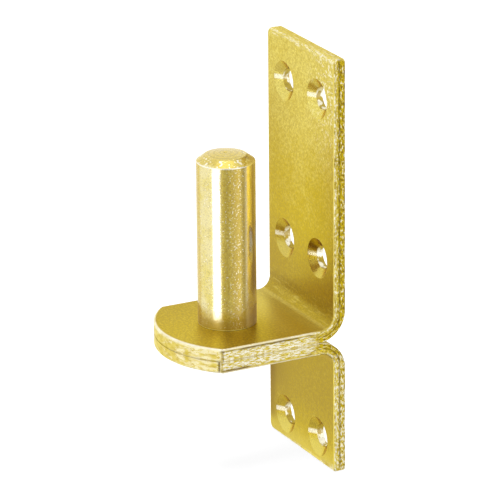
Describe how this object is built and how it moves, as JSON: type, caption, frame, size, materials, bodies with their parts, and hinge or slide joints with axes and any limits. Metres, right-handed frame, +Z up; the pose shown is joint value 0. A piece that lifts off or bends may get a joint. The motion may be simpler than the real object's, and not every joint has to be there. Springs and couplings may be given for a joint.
{
  "type": "gate hinge pin",
  "caption": "Upright hinge pin with a chamfered crown, riveted through the rounded tabs of two bent, countersunk fixing plates.",
  "frame": {"origin": "where the axis of the pin meets the top face of the tabs", "axes": "+Z up the pin, +Y towards the post that the flanges are screwed to, X across the width of the plates"},
  "size_m": [0.038, 0.0454, 0.117],
  "materials": {
    "plated_plate": "yellow passivated zinc on sheared and pressed steel, satin faces with granular sheared edges",
    "plated_pin": "yellow passivated zinc on a turned steel bar, brighter than the plates"
  },
  "bodies": {
    "root": {"upper_plate": "plated_plate", "lower_plate": "plated_plate", "hinge_pin": "plated_pin"}
  },
  "joints": []
}
